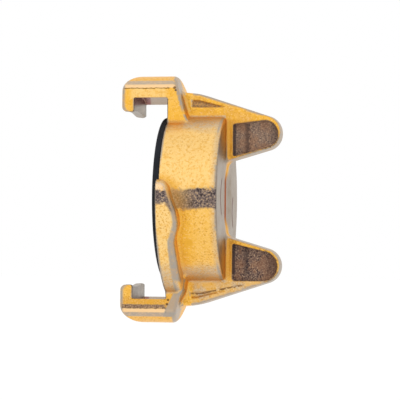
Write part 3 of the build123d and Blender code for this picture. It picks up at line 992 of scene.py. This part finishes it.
def lipsAndArms(coat):
    x, y, z = [coat.places[way] for way in "xyz"]
    edge, lip = coat.edge, coat.masks["lip"]
    # painted grey reflection on the bare lips, mouth and bore
    coat.over(lip, coat.mix(edge(coat.noises["mottle"], "skin"), "lip", "lipPale"))
    # painted shadow in purple and painted grey reflection on the arms' undersides
    coat.over(coat.masks["arm"], coat.mix(edge(x + y * brass["armSlant"], "armShadow"), "shadowPurple", "arm"))
    # painted shadow across the lips' rear faces
    shadow = edge(z - y * brass["lipSlant"], "lipShadow") * coat.zone("lipShadowEnd")
    coat.over(lip * shadow, "shadowPurple", "lipShadow")


def singleMarks(coat):
    for spot, size, tone in brass["marks"]:
        away = coat.root.make("ShaderNodeVectorMath", {"operation": "DISTANCE"},
                              {0: coat.place, 1: spot}, "Value")
        coat.over(away.stray(coat.noises["grain"], size).rise(size, size * 0.5), tone, "mark")


def weighted(parts, weights):
    total = weights["base"]
    for name, weight in weights.items():
        if name != "base":
            total = total + parts[name] * weight
    return total


def brassMaterial():
    coat = Coat()
    for layer in (goldSkin, edgeReflectionsAndWear, foldMarks, rearWall, darkBand, wingCrease, castHollows,
                  lipsAndArms, singleMarks):
        layer(coat)
    cast, band = coat.masks["cast"], coat.band
    parts = {**coat.noises, "cast": cast, "band": band, "arcs": coat.arcs, "line": coat.line,
             "rough": cast * coat.noises["speckle"], "bandSpeckle": band * coat.noises["speckle"]}
    values = {"Base Color": coat.colour, "Roughness": weighted(parts, brass["roughness"]),
              "Metallic": weighted(parts, brass["metallic"])}
    smoothLip = 1.0 - coat.masks["lip"] * (1.0 - brass["lipRelief"])
    finishMaterial(coat.root, values, weighted(parts, brass["relief"]) * smoothLip, brass["bump"] * mm)
    return coat.made


rubber = {
    "colour": linear(13, 17, 24),
    "worn": linear(27, 32, 41),
    "grain": (2.2, 3.0),       # features per millimetre and detail
    "cloud": (0.3, 2.0),
    "wornContrast": (0.4, 0.7),
    "wornShare": 0.6,
    "roughness": 0.55,
    "grainRoughness": 0.15,
    "bump": 0.03,
    "shine": 0.25,
}


def rubberMaterial():
    made, root, place = newMaterial("seal_rubber")
    grain = noise(root, place, *rubber["grain"])
    cloud = noise(root, place, *rubber["cloud"])
    share = cloud.rise(*rubber["wornContrast"]) * rubber["wornShare"]
    colour = blend(root, share, rubber["colour"], rubber["worn"])
    roughness = rubber["roughness"] + grain * rubber["grainRoughness"]
    values = {"Base Color": colour, "Roughness": roughness, "Specular IOR Level": rubber["shine"]}
    finishMaterial(root, values, grain, rubber["bump"] * mm)
    return made


brassFinish = brassMaterial()
rubberFinish = rubberMaterial()
print("materials made")
bodyPiece.data.materials.append(brassFinish)
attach(bodyPiece, "root")
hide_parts("coupling_body")
ringPiece = makeRing(rubberFinish)
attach(ringPiece, "root")
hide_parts("face_seal")


# Camera: placed by fitting the picture's points, millimetres and degrees
camera = {
    "aim": (forging["front"], 0.0, 0.0),
    "azimuth": 9.517,
    "elevation": -2.162,
    "roll": 0.528,
    "distance": 350.1,
    "pixelsPerMm": 4.125,
    "aimPixel": (172.03, 199.29),
    "frame": 400.0,
    "sensor": 36.0,
    "clip": (0.01, 10.0),      # metres
}


def makeCamera():
    focal = camera["pixelsPerMm"] * camera["distance"]
    azimuth, elevation = math.radians(camera["azimuth"]), math.radians(camera["elevation"])
    level = math.cos(elevation)
    back = Vector((math.sin(azimuth) * level, -math.cos(azimuth) * level, math.sin(elevation)))
    right = Vector((math.cos(azimuth), math.sin(azimuth), 0.0))
    up = back.cross(right)
    roll = math.radians(camera["roll"])
    rolledRight = right * math.cos(roll) + up * math.sin(roll)
    rolledUp = up * math.cos(roll) - right * math.sin(roll)
    # turn the axis from the aimed point to the middle of the picture
    half = camera["frame"] / 2
    offX = (half - camera["aimPixel"][0]) / focal
    offY = (camera["aimPixel"][1] - half) / focal
    axis = (-back + rolledRight * offX + rolledUp * offY).normalized()
    newBack = -axis
    newRight = (rolledRight - newBack * rolledRight.dot(newBack)).normalized()
    newUp = newBack.cross(newRight)
    data = bpy.data.cameras.new("view")
    data.sensor_width = camera["sensor"]
    data.lens = camera["sensor"] * focal / camera["frame"]
    data.clip_start, data.clip_end = camera["clip"]
    made = addObject("view", data)
    turn = Matrix((newRight, newUp, newBack)).transposed().to_4x4()
    place = Vector(camera["aim"]) * mm + back * camera["distance"] * mm
    made.matrix_world = Matrix.Translation(place) @ turn
    scene.camera = made


makeCamera()
scene.view_settings.view_transform = "Standard"

# Metres and watts
studio = {
    "floorDrop": 0.07,
    "floorHalf": 3.0,
    "floorColour": (0.9, 0.9, 0.9, 1.0),
    "floorGlow": 0.13,
    "worldLevel": 1.0,
    "lampPlace": (-0.45, -0.8, 0.6),
    "lampSize": 1.0,
    "lampWatts": 0.6,
}


def makeStudio():
    half = studio["floorHalf"]
    corners = [(-half, -half, 0), (half, -half, 0), (half, half, 0), (-half, half, 0)]
    floorMesh = bpy.data.meshes.new("floor")
    floorMesh.from_pydata(corners, [], [(0, 1, 2, 3)])
    floor = addObject("floor", floorMesh)
    floor.location = (0, 0, -studio["floorDrop"])
    made = bpy.data.materials.new("floor")
    root = emptyTree(made)
    rays = root.make("ShaderNodeLightPath", {}, {}, "Is Camera Ray")
    seen = rays
    for kind in ("Is Glossy Ray", "Is Transmission Ray"):
        seen = seen + Wire(root.tree, rays.socket.node.outputs[kind])
    shader = root.make("ShaderNodeBsdfPrincipled", {}, {
        "Base Color": studio["floorColour"], "Roughness": 1.0, "Specular IOR Level": 0.0,
        "Emission Color": (1, 1, 1, 1), "Emission Strength": seen * studio["floorGlow"]}, "BSDF")
    root.make("ShaderNodeOutputMaterial", {}, {"Surface": shader}, None)
    floorMesh.materials.append(made)

    world = bpy.data.worlds.new("studio")
    scene.world = world
    root = emptyTree(world)
    light = root.make("ShaderNodeBackground", {}, {"Color": (1, 1, 1, 1), "Strength": studio["worldLevel"]})
    root.make("ShaderNodeOutputWorld", {}, {"Surface": light}, None)

    lampData = bpy.data.lights.new("softbox", "AREA")
    lampData.shape = "SQUARE"
    lampData.size = studio["lampSize"]
    lampData.energy = studio["lampWatts"]
    lamp = addObject("softbox", lampData)
    lamp.location = studio["lampPlace"]
    lamp.rotation_euler = (-Vector(studio["lampPlace"])).to_track_quat("-Z", "Y").to_euler()
    print("studio made")


makeStudio()
